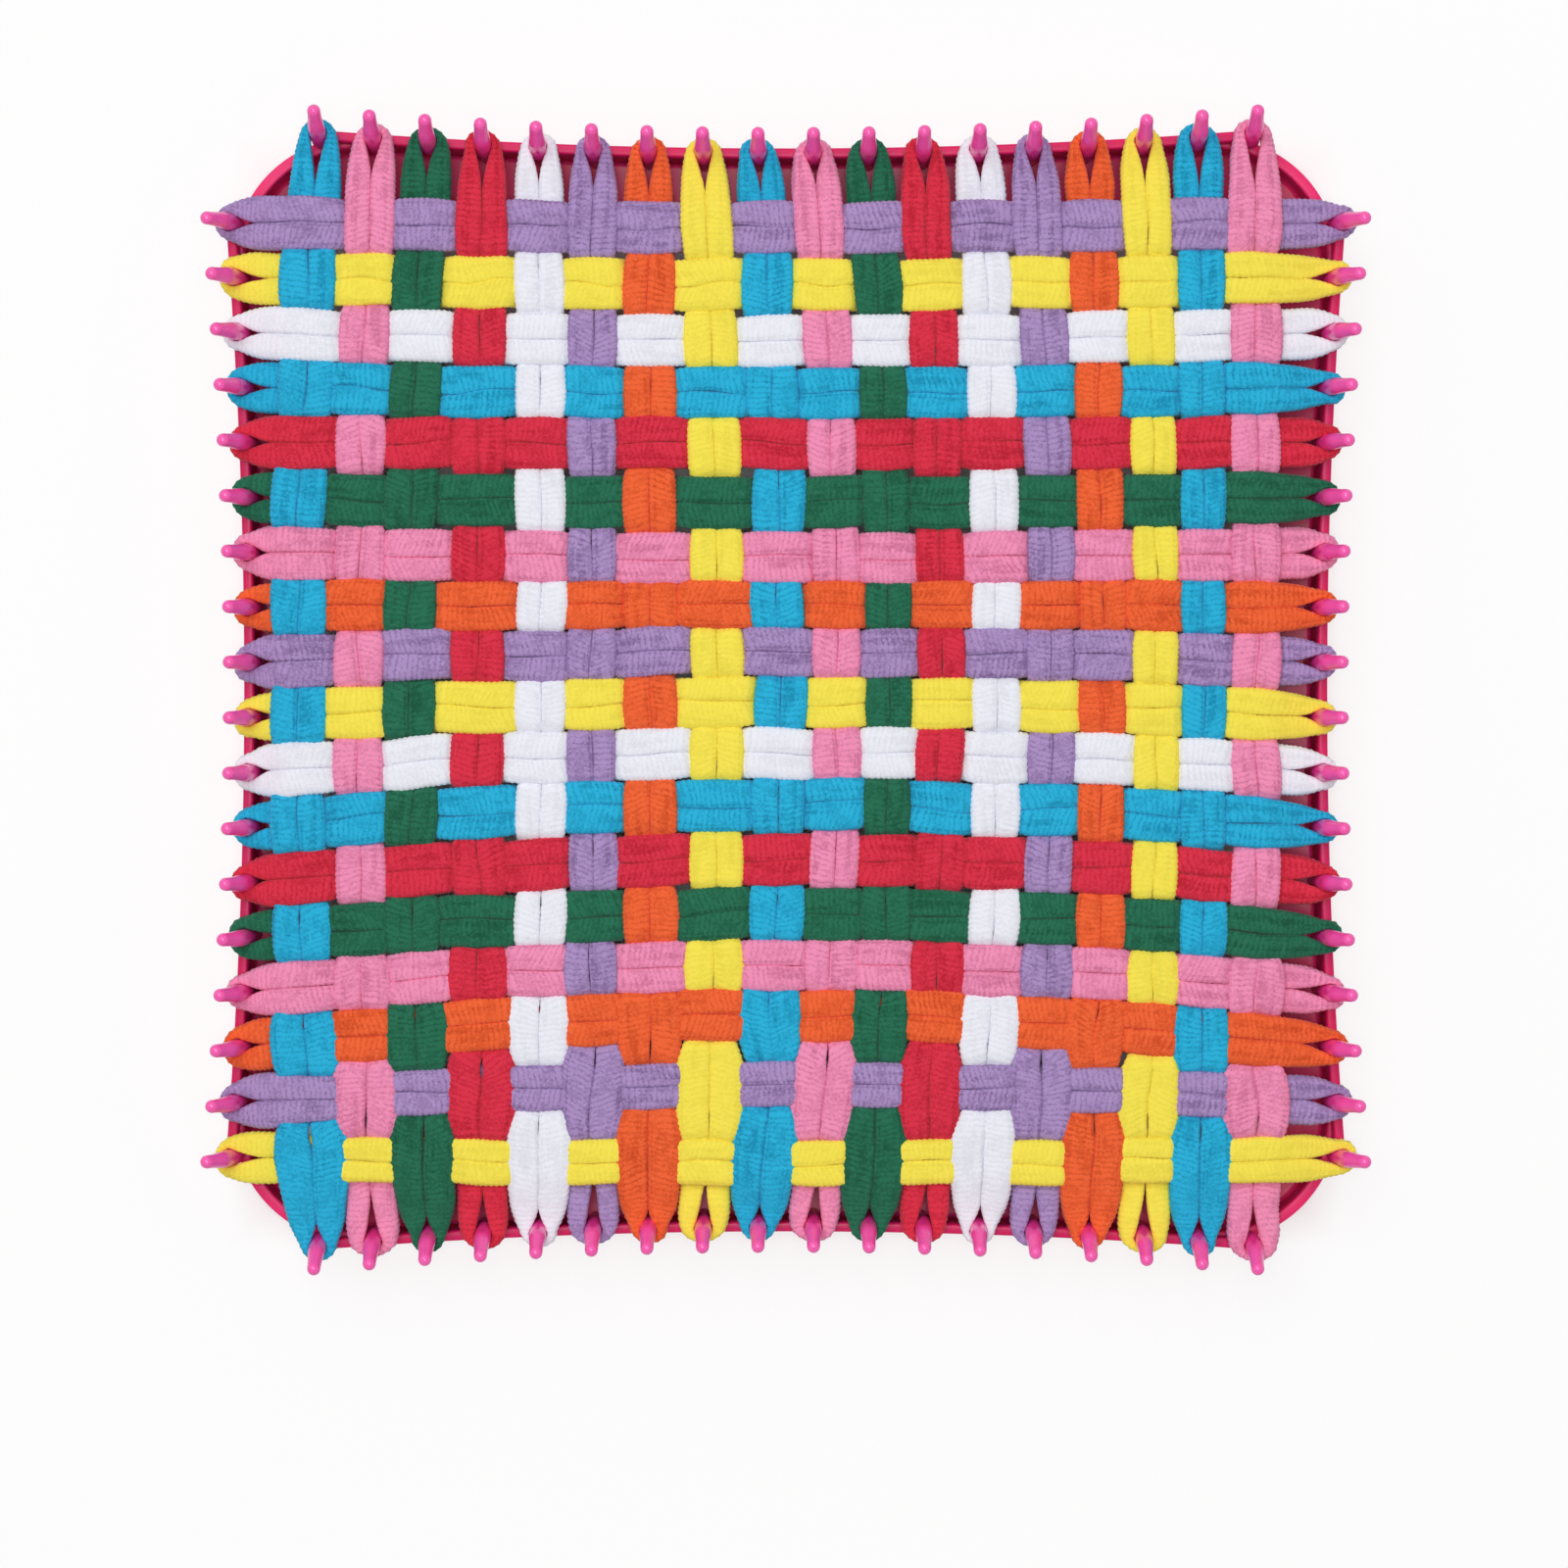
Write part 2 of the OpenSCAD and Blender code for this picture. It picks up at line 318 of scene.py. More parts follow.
# %% The ends of the loops
END_AT = np.array([0, 2, 4, 6.5]) * MM
END_KINDS = {
    ("top", True): ([3.25, 3.70, 4.05, 4.25], 7.0),
    ("top", False): ([3.35, 3.85, 4.15, 4.35], 7.5),
    ("bottom", True): ([3.10, 4.05, 4.75, 5.20], 4.0),
    ("bottom", False): ([4.05, 4.45, 4.45, 4.35], 9.5),
    ("left", True): ([3.20, 4.15, 4.60, 4.75], 4.5),
    ("left", False): ([3.50, 4.15, 4.40, 4.45], 6.0),
    ("right", True): ([2.90, 3.35, 3.75, 4.05], 5.5),
    ("right", False): ([3.10, 3.95, 4.35, 4.40], 5.5),
}
FULLNESS_RANGE, OPENING_RANGE = (0.93, 1.06), (0.75, 1.25)
FULLNESS_SHARES = np.array([1, 1, 0.7, 0.4])
EYE_R = 1.55 * MM
OPEN_POWER = 1.5
END_HALF_H = 1.6 * MM
END_MIDDLE = 14.85 * MM
END_STEP, END_RUN = 1.5 * MM, 2.5


def end_shape(rng, side, free, wide):
    """Half widths of a loop near its peg, the length over which it opens and a random fullness."""
    widths, opening = END_KINDS[side, bool(free)]
    full = rng.uniform(*FULLNESS_RANGE)
    widths = np.array(widths) * MM * (1 + (full - 1) * FULLNESS_SHARES)
    return widths, opening * rng.uniform(*OPENING_RANGE) * MM * wide


# %% [markdown]
# Both strands follow the loop's middle line. On a real loom a loop wanders a little from side to side
# and the line between its strands isn't straight, so two slow random waves move them. The half width
# is given at each crossing, at each step between crossings and at the ends, and read off in between.
# It fills out soon after a step, so that each stretch on top is a bar with rounded corners.

# %% The strands as rows of points
STRAND_HALF_H, STEP_HALF_H, THIN_POWER = 1.2 * MM, 1.0 * MM, 1.5
LAP = 0.04 * MM
CORNER, FULLNESS = 0.4, 0.82
CALM_END = 20 * MM
LIFT_SHARE = 0.06


def wave(rng, longest, shortest, count=7):
    """A smooth random function of about unit size, made of waves between two lengths."""
    length = rng.uniform(shortest, longest, count)
    phase, share = rng.uniform(0, 2 * math.pi, count), rng.normal(0, 1, count)

    def at(y):
        turns = np.asarray(y)[:, None] / length * 2 * math.pi
        return (share * np.sin(turns + phase)).sum(1) / math.sqrt(count)
    return at


def strand_rows(side, loop):
    place, low, high = loop["place"], loop["low"], loop["high"]
    crossings, half_ws, eye = loop["crossings"], loop["half_ws"], eye_at(loop["place"])
    y = np.arange(-eye, eye, FINE)
    steps = step_places(crossings, loop["over"], loop["room"])
    necks = loop["neck"] * np.minimum(half_ws[1:], half_ws[:-1])
    near = [steps + CORNER * (side_of - steps) for side_of in (crossings[:-1], crossings[1:])]
    full = [necks + FULLNESS * (at - necks) for at in (half_ws[:-1], half_ws[1:])]
    knots, widths = np.concatenate([crossings, steps] + near), np.concatenate([half_ws, necks] + full)
    inside = np.argsort(knots)
    knots = np.concatenate([-eye + END_AT, knots[inside], (eye - END_AT)[::-1]])
    outer = np.interp(y, knots, np.concatenate([low[0], widths[inside], high[0][::-1]]))
    inner = EYE_R * (np.clip(1 - (y + eye) / low[1], 0, 1) ** OPEN_POWER
                     + np.clip(1 - (eye - y) / high[1], 0, 1) ** OPEN_POWER) - LAP
    loose = smooth_step((eye - abs(y)) / CALM_END)
    middle = place + bowed(y, eye, loop["bow"]) + loose * loop["wander"](y)
    line = side * loose * loop["line"](y)
    x = middle + side * (outer + inner + line) / 2
    half = (outer - inner - line) / 2
    share = height_along(y, crossings, loop["over"], loop["room"])
    low_t = smooth_step((crossings[0] - END_STEP - y) / (eye + crossings[0] - END_RUN * END_STEP))
    high_t = smooth_step((y - crossings[-1] - END_STEP) / (eye - crossings[-1] - END_RUN * END_STEP))
    end_t = low_t + high_t
    z = MAT_MIDDLE + RISE * share * (1 + LIFT_SHARE * loop["lift"](y))
    z = z + (END_MIDDLE - z) * end_t
    half_h = STEP_HALF_H + (STRAND_HALF_H - STEP_HALF_H) * np.abs(share) ** THIN_POWER
    half_h = half_h + (END_HALF_H - half_h) * end_t
    rows = np.stack([x, y, z, half, half_h, end_t, np.full_like(y, side)], 1)
    return rows if side > 0 else rows[::-1]


# %% [markdown]
# Round the peg the band stands on its edge. Seen from above, its outside is a pointed arch, wide beside
# the peg and thin beyond it, and its inside lies against the peg. Angles are counted from the way that
# the peg leans. One side of the arch bulges more than the other, because nobody strings a loop evenly.

# %% The turn round a peg
ARCH_STEPS = 60
ARCH_ANGLES = np.radians([0, 41, 67, 90])
ARCH_SHARES = np.array([0, 0.12, 0.5, 1])
ARCH_POINT = 2.75 * MM
BULGE_AT, BULGE_WIDTH = math.radians(58), math.radians(30)


def turn_rows(end, beside, loop, bulge):
    angle = np.linspace(math.pi / 2, -math.pi / 2, ARCH_STEPS)
    outside = ARCH_POINT + (beside - ARCH_POINT) * np.interp(abs(angle), ARCH_ANGLES, ARCH_SHARES)
    bump_at = math.copysign(BULGE_AT, bulge)
    outside = outside + abs(bulge) * np.exp(-(((angle - bump_at) / BULGE_WIDTH) ** 2))
    radius, half = (outside + EYE_R) / 2, (outside - EYE_R) / 2
    x = loop["place"] + radius * np.sin(angle)
    y = eye_at(loop["place"]) + radius * np.cos(angle)
    ones = np.ones(len(angle))
    rows = np.stack([x, y, END_MIDDLE * ones, half, END_HALF_H * ones, ones, np.sin(angle)], 1)
    if end > 0:
        return rows
    rows = rows[::-1].copy()
    rows[:, 1] *= -1
    return rows


# %% [markdown]
# Now the whole path is laid out. Down one strand, round a peg, up the other strand and round the other
# peg: the path is closed, so it can be smoothed like a ring, and then cut into rings of vertices at an
# even spacing. Two rings make one rib of the knit, one on the rib and one in its groove.

# %% The path of a loop
RIB = 0.92 * MM
SMOOTHING = 0.42 * MM
BULGE_MOST = 0.45 * MM


def smooth_ring(values, step, width):
    reach = int(4 * width / step)
    kernel = np.exp(-0.5 * (np.arange(-reach, reach + 1) * step / width) ** 2)
    kernel /= kernel.sum()
    longer = np.concatenate([values[-reach:], values, values[:reach]])
    return np.stack([np.convolve(column, kernel, "valid") for column in longer.T], 1)


def resample(rows, spacing):
    step = np.linalg.norm(np.roll(rows[:, :3], -1, 0) - rows[:, :3], axis=1)
    run = np.concatenate([[0], np.cumsum(step)])
    count = 2 * int(round(run[-1] / spacing / 2))
    at = np.arange(count) / count * run[-1]
    closed = np.concatenate([rows, rows[:1]])
    return np.stack([np.interp(at, run, column) for column in closed.T], 1), run[-1]


def loop_path(rng, loop):
    bulges = rng.uniform(-1, 1, 2) * BULGE_MOST
    rows = np.concatenate([
        strand_rows(1, loop),
        turn_rows(1, loop["high"][0][0], loop, bulges[0]),
        strand_rows(-1, loop),
        turn_rows(-1, loop["low"][0][0], loop, bulges[1]),
    ])
    rows, _ = resample(rows, FINE)
    return resample(smooth_ring(rows, FINE, SMOOTHING), RIB / 2)


# %% [markdown]
# A ring of vertices goes round the path at each step. Its shape is a flat tube: nearly square where the
# two strands meet, rounder on the outside. Every second ring stands out a little, most at the outer
# edge, which gives the ribs of the stretched knit and the fine scallops that they end in. The ribs
# slant like the barbs of a feather, and small random swellings keep the strands from looking machined.
# The map that is laid over the band counts ribs along it and rows of stitches round it, so that
# the stitches fit everywhere.

# %% The mesh of a loop
ROUND = 24
OUTER_SQUARENESS, INNER_SQUARENESS = 2.6, 4.6
RIB_TOP, RIB_EDGE = 0.018 * MM, 0.085 * MM
LUMPS, LUMP_BLUR, LUMPS_AT_EDGE = 0.028 * MM, 1.7, 0.3
WIDTH_WAVE, HEIGHT_WAVE = 0.022, 0.03
WIDTH_WAVES, HEIGHT_WAVES = (30 * MM, 5 * MM), (24 * MM, 4 * MM)
SLANT_WAVES = (60 * MM, 12 * MM)
SLANT, SLANT_SHARE, SLANT_WAVE = 0.34, 0.6, 0.5
STITCH_ROWS = 14


def tube_section():
    """Across and up on the edge of a flat tube, with the loop's outer side at +1 across."""
    angle = (np.arange(ROUND) + 0.5) / ROUND * 2 * math.pi
    c, s = np.cos(angle), np.sin(angle)
    power = np.where(c > 0, 2 / OUTER_SQUARENESS, 2 / INNER_SQUARENESS)
    return np.sign(c) * abs(c) ** power, np.sign(s) * abs(s) ** power


def band_mesh(rng, rows, tilt):
    count = len(rows)
    points = rows[:, :3]
    tangent = np.roll(points, -1, 0) - np.roll(points, 1, 0)
    tangent /= np.linalg.norm(tangent, axis=1)[:, None]
    across = np.cross(tangent, [0, 0, 1])
    across /= np.linalg.norm(across, axis=1)[:, None]
    upward = np.cross(across, tangent)
    y, turned, side = rows[:, 1], rows[:, 5], rows[:, 6]
    half = rows[:, 3] * (1 + WIDTH_WAVE * wave(rng, *WIDTH_WAVES)(y + side))
    half_h = rows[:, 4] * (1 + HEIGHT_WAVE * wave(rng, *HEIGHT_WAVES)(y + side))
    slant = SLANT * (SLANT_SHARE + SLANT_WAVE * wave(rng, *SLANT_WAVES)(y))
    slant = slant * side * (1 - turned) * rng.choice([-1, 1])
    cx, cz = tube_section()
    rib = np.where(np.arange(count) % 2 == 0, -1.0, 1.0)[:, None]
    ridge = rib * (RIB_TOP + (RIB_EDGE - RIB_TOP) * np.clip(cx, 0, 1)[None, :] ** 4)
    lumps = rng.normal(0, LUMPS, (count, ROUND))
    lumps = (lumps + np.roll(lumps, 1, 0) + np.roll(lumps, 1, 1)) / LUMP_BLUR
    grow = ridge + lumps * (LUMPS_AT_EDGE + (1 - LUMPS_AT_EDGE) * abs(cz))[None, :]
    wide = (half[:, None] + grow) * cx[None, :]
    high = (half_h[:, None] + grow) * cz[None, :]
    shift = (slant * half)[:, None] * cx[None, :]
    co = (points[:, None, :] + across[:, None, :] * wide[:, :, None]
          + upward[:, None, :] * high[:, :, None] + tangent[:, None, :] * shift[:, :, None])
    leaning = np.sign(points[:, 1]) * turned * math.tan(tilt)
    co[:, :, 1] += leaning[:, None] * (co[:, :, 2] - END_MIDDLE)
    j, r = np.meshgrid(np.arange(count), np.arange(ROUND), indexing="ij")
    nj, nr = (j + 1) % count, (r + 1) % ROUND
    faces = np.stack([j * ROUND + r, nj * ROUND + r, nj * ROUND + nr, j * ROUND + nr], -1).reshape(-1, 4)
    u = np.stack([j, j + 1, j + 1, j], -1) / 2
    v = np.stack([r, r, r + 1, r + 1], -1) / ROUND * STITCH_ROWS
    return co.reshape(-1, 3), faces, np.stack([u, v], -1).reshape(-1, 2)


def object_from(name, co, faces, uv):
    mesh = bpy.data.meshes.new(name)
    mesh.vertices.add(len(co))
    mesh.vertices.foreach_set("co", co.astype(np.float32).ravel())
    mesh.loops.add(faces.size)
    mesh.loops.foreach_set("vertex_index", faces.astype(np.int32).ravel())
    mesh.polygons.add(len(faces))
    mesh.polygons.foreach_set("loop_start", np.arange(0, faces.size, faces.shape[1], dtype=np.int32))
    mesh.update(calc_edges=True)
    mesh.validate()
    mesh.shade_smooth()
    layer = mesh.uv_layers.new(name="knit_map")
    layer.data.foreach_set("uv", uv.astype(np.float32).ravel())
    made = bpy.data.objects.new(name, mesh)
    bpy.context.scene.collection.objects.link(made)
    return made


# %% [markdown]
# The loops are soft cotton and stretch yarn, coloured with eight plain dyes. Up close the knit is a row
# of small slanting stitches, and a light fuzz of fibres blurs them. The stitches come from the map on
# the band: ribs along it, each one bent into a shallow V in every row. The same height also paints
# shade into the grooves, a darker and more saturated colour, and a touch of light on the rib tops:
# painted shade and light, less in white and yellow yarn and more in purple and blue. Worn fibres show
# as paler flecks, most in purple and pink. A weak sheen stands for the fuzz, which catches light at the
# edges.

# %% Knit in eight colours
KNIT_COLOURS = {
    "blue": (0.017, 0.451, 0.723),
    "pink": (0.913, 0.283, 0.485),
    "green": (0.013, 0.150, 0.078),
    "red": (0.716, 0.025, 0.061),
    "white": (0.863, 0.871, 0.947),
    "purple": (0.413, 0.275, 0.552),
    "orange": (0.905, 0.130, 0.032),
    "yellow": (0.956, 0.799, 0.082),
}
STITCH_RISE = 0.16
STITCH_DRIFT = 1.1
STITCH_DEPTH = 0.16 * MM
FUZZ_SCALE, FUZZ_HEIGHT = 2100, 1.15
PATCH_SCALE = 260
RIB_HEIGHT_LEAST, RIB_HEIGHT_MOST = 0.06, 0.34
RIB_TOP_FROM, FINER = 0.7, 1.6
CREASE_HEIGHT, CREASE_FROM, CREASE_TO = 0.2, 0.34, 0.50
# Painted shade: heights below this get the full groove colour.
GROOVE_SHADE_BELOW = 0.50
RELIEF = 0.7
# The first two lift the colour of the rib tops a touch, as painted light; the third pales the worn
# flecks.
RIB_TOP_LIGHT, RIB_TOP_LIGHT_LIFT, FLECK_PALE = 1.03, 0.004, 1.08
FLECK_FROM, FLECK_TO, FLECK_MOST = 0.56, 0.72, 0.38
YARN = {"Roughness": 0.9, "Specular IOR Level": 0.2, "Sheen Weight": 0.12, "Sheen Roughness": 0.5}
CREASE_STRETCH = (0.05, 0.85, 1)
# Painted shade in the grooves: how dark and saturated it is, and how strong for each yarn colour.
GROOVE_SHADE_LEVEL, GROOVE_SHADE_POWER = 0.70, 1.15
GROOVE_SHADE_STRENGTH = {"white": 0.35, "yellow": 0.35, "purple": 1.25, "blue": 1.15}
FLECKS = {"purple": 0.13, "pink": 0.09, "blue": 0.04}
FAINT_FLECKS = 0.05


def painted_groove_shade(colour, clarity):
    """Painted shade for the grooves between the ribs: darker and more saturated, as light that bounces
    within the yarn makes them.
    """
    deep = [GROOVE_SHADE_LEVEL * c**GROOVE_SHADE_POWER for c in colour]
    return tuple(c + (d - c) * clarity for c, d in zip(colour, deep)) + (1,)


def lighter(colour, factor, lift):
    return tuple(min(1.0, c * factor + lift) for c in colour) + (1,)


def knit_material(name, colour):
    material, tree, shader = new_material(name + "_knit")
    uv = add(tree, "UVMap", uv_map="knit_map")
    place = add(tree, "TexCoord").node.outputs["Object"]
    split = add(tree, "SeparateXYZ", uv).node
    u, v = split.outputs[0], split.outputs[1]
    fuzz = add(tree, "TexNoise", place, None, FUZZ_SCALE, 4.0, 0.65)
    patch = add(tree, "TexNoise", place, None, PATCH_SCALE, 2.0, 0.5)
    long_way = add(tree, "VectorMath", uv, CREASE_STRETCH, operation="MULTIPLY")
    crease = add(tree, "TexNoise", long_way, None, 1.0, 2.0, 0.5)
    crease = add(tree, "MapRange", crease, CREASE_FROM, CREASE_TO, 0.0, 1.0,
                 interpolation_type="SMOOTHSTEP")
    zigzag = calculate(tree, "MULTIPLY", calculate(tree, "PINGPONG", v, 0.5), 2.0)
    drift = calculate(tree, "MULTIPLY", calculate(tree, "SUBTRACT", patch, 0.5), STITCH_DRIFT)
    phase = calculate(tree, "MULTIPLY_ADD", zigzag, STITCH_RISE, u)
    phase = calculate(tree, "ADD", phase, drift)
    rib = calculate(tree, "MULTIPLY", calculate(tree, "PINGPONG", phase, 0.5), 2.0)
    rib = add(tree, "MapRange", rib, 0.0, RIB_TOP_FROM, 0.0, 1.0, interpolation_type="SMOOTHSTEP")
    finer = add(tree, "TexNoise", place, None, PATCH_SCALE * FINER, 1.0)
    strength = add(tree, "MapRange", finer, 0.38, 0.62, RIB_HEIGHT_LEAST, RIB_HEIGHT_MOST)
    fibres = calculate(tree, "MULTIPLY", fuzz, FUZZ_HEIGHT)
    height = calculate(tree, "MULTIPLY_ADD", rib, strength, fibres)
    height = calculate(tree, "MULTIPLY_ADD", crease, CREASE_HEIGHT, height)
    bump = add(tree, "Bump").node
    bump.inputs["Strength"].default_value = RELIEF
    bump.inputs["Distance"].default_value = STITCH_DEPTH
    tree.links.new(height, bump.inputs["Height"])
    tree.links.new(bump.outputs[0], shader.inputs["Normal"])
    # Painted shade and light: low places in the height get the groove colour, high places a slightly
    # lighter one.
    depth = add(tree, "MapRange", height, GROOVE_SHADE_BELOW, 1.0, 0.0, 1.0)
    ribs = painted_groove_shade(colour, GROOVE_SHADE_STRENGTH.get(name, 1))
    dye_with_painted_shade_and_light = mix_colours(tree, depth, ribs, lighter(colour, RIB_TOP_LIGHT, RIB_TOP_LIGHT_LIFT))
    worn = add(tree, "MapRange", fuzz, FLECK_FROM, FLECK_TO, 0.0, FLECK_MOST)
    flecks = lighter(colour, FLECK_PALE, FLECKS.get(name, FAINT_FLECKS))
    tree.links.new(mix_colours(tree, worn, dye_with_painted_shade_and_light, flecks), shader.inputs["Base Color"])
    for socket, value in YARN.items():
        shader.inputs[socket].default_value = value
    return material


KNITS = {name: knit_material(name, colour) for name, colour in KNIT_COLOURS.items()}
print("knit colours:", ", ".join(KNITS))

# %% [markdown]
# The mat is a plain weave: each loop goes over one loop and under the next, and its neighbour does the
# opposite. The wefts are packed side by side and touch. The warps fill most of the room between their
# neighbours. Near the last wefts, where the weave is open, the warps have room and swell
# where they go over, and the wefts there are stretched thin.

# %% Weave the loops
WARP_ORDER = ["blue", "pink", "green", "red", "white", "purple", "orange", "yellow"]
WEFT_ORDER = ["purple", "yellow", "white", "blue", "red", "green", "pink", "orange"]
WARP_SHARE, WEFT_SHARE = 0.46, 0.515
WARP_MOST, WEFT_MOST, WEFT_STRETCHED = 4.75 * MM, 4.6 * MM, 4.0 * MM
WARP_NECK, WEFT_NECK = 0.94, 0.94
SWELL, SWELL_FROM, SWELL_ROWS = 0.30, 11.5, 5.5
STRETCHED_ROWS = 16
WARP_UNDER = 0.96
EDGE_WIDER, EDGE_SWELL, EDGE_OPENING = 1.04, 0.1, 1.7
WANDER, LINE_WANDER = 0.22 * MM, 0.28 * MM
WANDER_WAVES, LINE_WAVES, LIFT_WAVES = (60 * MM, 14 * MM), (50 * MM, 12 * MM), (30 * MM, 8 * MM)
WARP_SEED, WEFT_SEED = 100, 200


def make_loop(name, node, colour, rng, loop, crosswise):
    order = np.argsort(loop["crossings"])
    for key in ("crossings", "over", "half_ws", "room"):
        loop[key] = loop[key][order]
    ends = loop["sides"]
    loop["low"] = end_shape(rng, ends[0], loop["over"][0], loop["wide"][0])
    loop["high"] = end_shape(rng, ends[1], loop["over"][-1], loop["wide"][1])
    wander, line, lift = (wave(rng, *waves) for waves in (WANDER_WAVES, LINE_WAVES, LIFT_WAVES))
    loop["wander"] = lambda y: WANDER * wander(y)
    loop["line"] = lambda y: LINE_WANDER * line(y)
    loop["lift"] = lift
    rows, length = loop_path(rng, loop)
    co, faces, uv = band_mesh(rng, rows, lean(loop["place"]))
    if crosswise:
        co = np.stack([co[:, 1], -co[:, 0], co[:, 2]], 1)
    piece = object_from(name, co, faces, uv)
    piece.data.materials.append(KNITS[colour])
    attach(piece, "woven_mat")
    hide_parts(node)
    return length


def warp_half_w(i, y):
    near = [warp_x(n, y) for n in (max(i - 1, 0), min(i + 1, LAST))]
    pitch = (near[1] - near[0]) / (2 if 0 < i < LAST else 1)
    return min(WARP_SHARE * pitch, WARP_MOST)


def weft_half_w(k, x):
    near = [weft_y(n, x) for n in (max(k - 1, 0), min(k + 1, LAST))]
    pitch = (near[0] - near[1]) / (2 if 0 < k < LAST else 1)
    return min(WEFT_SHARE * pitch, WEFT_STRETCHED if k >= STRETCHED_ROWS else WEFT_MOST)


def weave_warp(i):
    rows = np.arange(PEG_COUNT)
    ys = np.array([weft_y(k, warp_x(i, along(LAST - k))) for k in rows])
    over = (i + rows) % 2 == 1
    half_ws = np.array([warp_half_w(i, y) for y in ys])
    swell = SWELL * ease((rows - SWELL_FROM) / SWELL_ROWS)
    half_ws = half_ws * np.where(over, 1 + swell, WARP_UNDER * (1 + swell / 3))
    if i in (0, LAST):
        half_ws = half_ws * (EDGE_WIDER + EDGE_SWELL * (ys / ROW_HALF) ** 4)
    room = np.array([weft_half_w(k, warp_x(i, ys[k])) for k in rows])
    loop = {"place": along(i), "bow": warp_bow(i), "crossings": ys, "over": over, "half_ws": half_ws,
            "room": room, "neck": WARP_NECK, "sides": ("bottom", "top"),
            "wide": (1, EDGE_OPENING if i in (0, LAST) else 1)}
    rng = np.random.default_rng(WARP_SEED + i)
    number = f"{i + 1:02d}"
    return make_loop("warp_band_" + number, "warp_loop_" + number, WARP_ORDER[i % 8], rng, loop, False)


def weave_weft(k):
    columns = np.arange(PEG_COUNT)
    xs = np.array([warp_x(i, weft_y(k, along(i))) for i in columns])
    over = (columns + k) % 2 == 0
    half_ws = np.array([weft_half_w(k, x) for x in xs])
    room = np.array([warp_half_w(i, weft_y(k, xs[i])) for i in columns])
    loop = {"place": along(k), "bow": -weft_bow(k), "crossings": xs, "over": over, "half_ws": half_ws,
            "room": room, "neck": WEFT_NECK, "sides": ("left", "right"), "wide": (1, 1)}
    rng = np.random.default_rng(WEFT_SEED + k)
    number = f"{k + 1:02d}"
    return make_loop("weft_band_" + number, "weft_loop_" + number, WEFT_ORDER[k % 8], rng, loop, True)


lengths = [weave_warp(i) for i in range(PEG_COUNT)] + [weave_weft(k) for k in range(PEG_COUNT)]
print("36 loops, each", round(min(lengths) / MM), "to", round(max(lengths) / MM), "mm of band round")

# %% [markdown]
# The frame is injection moulded in hot pink plastic, a little translucent, with a soft gloss. The walls
# look deep crimson at their tops. Below them, in the hollow between the walls and the mat and on the
# walls' faces, the colour is a brighter red: painted light that keeps the shaded hollow from going dark.
# The pegs are painted a clear bright pink, palest at their tips: painted light for the light that shines
# through the thin plastic. So the colour is mixed by height. Light goes about a millimetre under the
# skin, which softens the shadows on it. Let it wander further and the thin walls show the dark of the
# hollow on their outer side. The pegs are polished by the loops that slide over them, and the walls are
# duller.

# %% Pink plastic
# Painted light: below the wall tops the red is brighter, to make up for the shade in the hollow; the
# pegs' pinks are brighter still and palest at the tips, for light through the thin plastic.
HOLLOW_PINK_WITH_PAINTED_LIGHT = (1.0, 0.034, 0.200, 1)
WALL_PINK = (0.72, 0.012, 0.135, 1)
PEG_PINK_WITH_PAINTED_LIGHT = (1.0, 0.052, 0.37, 1)
TIP_PINK_WITH_PAINTED_LIGHT = (1.0, 0.095, 0.45, 1)
WALL_FINISH_AND_PAINTED_LIGHT = {"low": HOLLOW_PINK_WITH_PAINTED_LIGHT, "high": WALL_PINK, "start": 11.4 * MM, "end": 12.8 * MM,
               "specular": 0.15, "roughness": 0.38, "depth": 1.0 * MM, "share": 0.6}
# Painted light on the pegs: bright pink, paler towards the tips, for light through the thin plastic.
PEG_FINISH_AND_PAINTED_LIGHT = {"low": PEG_PINK_WITH_PAINTED_LIGHT, "high": TIP_PINK_WITH_PAINTED_LIGHT, "start": 18.5 * MM, "end": 22 * MM,
              "specular": 0.5, "roughness": 0.24, "depth": 1.0 * MM, "share": 0.08}
CLOUD_SCALE, GRAIN_SCALE = 90, 900
CLOUDINESS, SMOOTHER, DULLER = 0.06, 0.05, 0.07
GRAIN_DEPTH, GRAIN_STRENGTH = 0.1 * MM, 0.12
RED_GOES_DEEPEST = (1.0, 0.09, 0.18)
PLASTIC_IOR, COAT_SHARE, COAT_ROUGHNESS = 1.5, 0.5, 0.18


# Painted light: the colour changes with height, the low one below start and the high one above end.
def painted_light_by_height(tree, place, low, high, start, end):
    height = add(tree, "SeparateXYZ", place).node.outputs[2]
    share = add(tree, "MapRange", height, start, end, 0.0, 1.0, interpolation_type="SMOOTHSTEP")
    return mix_colours(tree, share, low, high)


